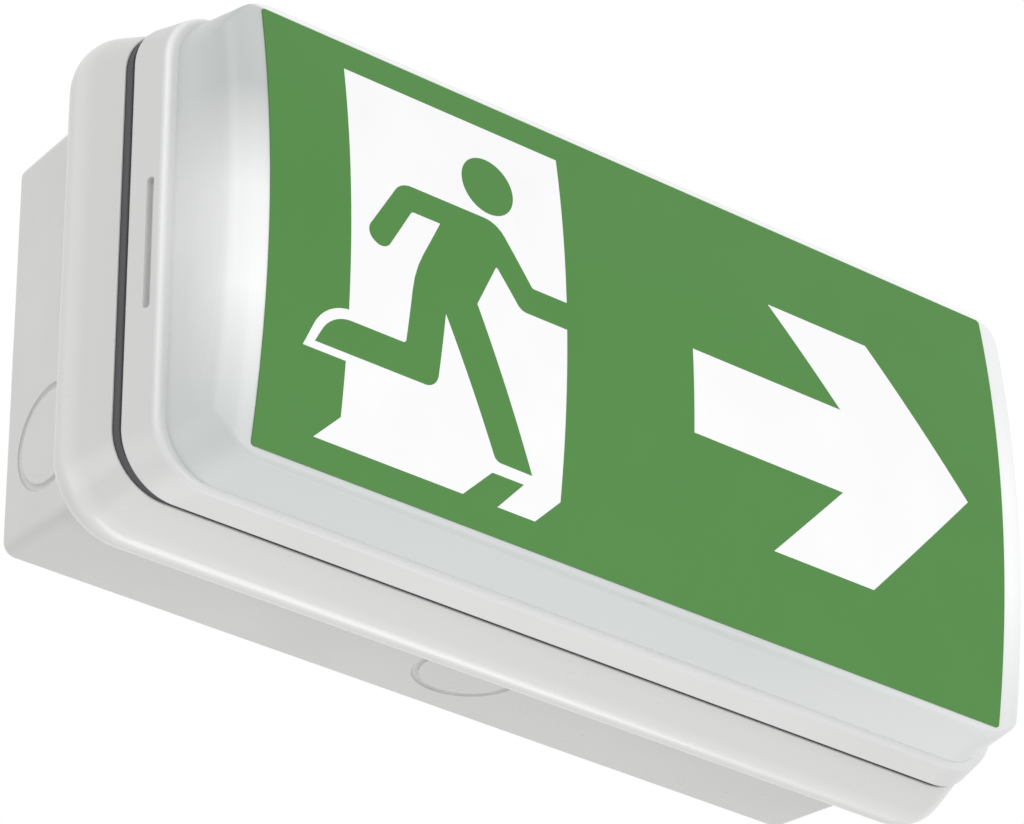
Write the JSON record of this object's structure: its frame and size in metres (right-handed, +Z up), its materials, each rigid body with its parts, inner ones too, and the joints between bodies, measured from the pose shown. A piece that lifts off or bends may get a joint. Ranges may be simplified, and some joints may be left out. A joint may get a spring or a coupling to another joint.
{
  "type": "emergency exit light",
  "caption": "Wall-mounted emergency exit light: moulded rear housing with cable knock-outs, frosted clip-on cover with a bowed front, green escape legend and battery-backed lamps.",
  "frame": {"origin": "centre of the four wall fixings on the wall face of the housing", "axes": "+X to the right seen from the front, -Y out of the wall to the viewer, +Z up"},
  "size_m": [0.2384, 0.0803, 0.116],
  "materials": {
    "housing": "fine moulded texture",
    "gasket": "soft, dull",
    "diffuser": "frosted, translucent",
    "legend": "printed film, satin",
    "reflector": "white, satin",
    "screw": "zinc plated",
    "led_board": "white solder mask",
    "led": "phosphor window",
    "connector": "moulded",
    "circuit_board": "green solder mask",
    "core": "varnished",
    "can": "sleeved can",
    "battery": "shrink sleeve",
    "clip": "zinc plated strip",
    "terminal": "moulded",
    "terminal_screw": "nickel-free brass",
    "switch": "moulded",
    "nut": "nickel plated",
    "button": "moulded",
    "indicator": "tinted lens",
    "wire_red": "insulation",
    "wire_black": "insulation",
    "wire_brown": "insulation",
    "wire_blue": "insulation"
  },
  "bodies": {
    "base": {"base_housing": "housing", "seal_gasket": "gasket", "gear_tray": "reflector", "tray_screws": "screw", "led_board_lower": "led_board", "led_board_upper": "led_board", "leds_lower": "led", "leds_upper": "led", "led_board_screws": "screw", "led_connectors": "connector", "control_board": "circuit_board", "board_screws": "screw", "transformer": "core", "capacitors": "can", "mains_connector": "connector", "led_output_connector": "connector", "battery_connector": "connector", "battery_pack": "battery", "battery_clips": "clip", "clip_screws": "screw", "terminal_block": "terminal", "terminal_screws": "terminal_screw", "terminal_fixings": "screw", "test_switch": "switch", "test_switch_nut": "nut", "indicator_bezel": "switch", "charge_indicator": "indicator", "battery_lead_positive": "wire_red", "battery_lead_negative": "wire_black", "led_leads_positive": "wire_red", "led_leads_negative": "wire_black", "mains_lead_live": "wire_brown", "mains_lead_neutral": "wire_blue"},
    "cover": {"diffuser_cover": "diffuser", "legend_film": "legend"},
    "button": {"test_button": "button"}
  },
  "joints": [
    {"name": "cover_release", "type": "slide", "parent": "base", "child": "cover", "axis": [0, -1, 0], "range_m": [0, 0.08]},
    {"name": "test_press", "type": "slide", "parent": "base", "child": "button", "axis": [0, 1, 0], "range_m": [0, 0.0015], "stiffness_N_per_m": 500, "springref_m": -0.002}
  ]
}
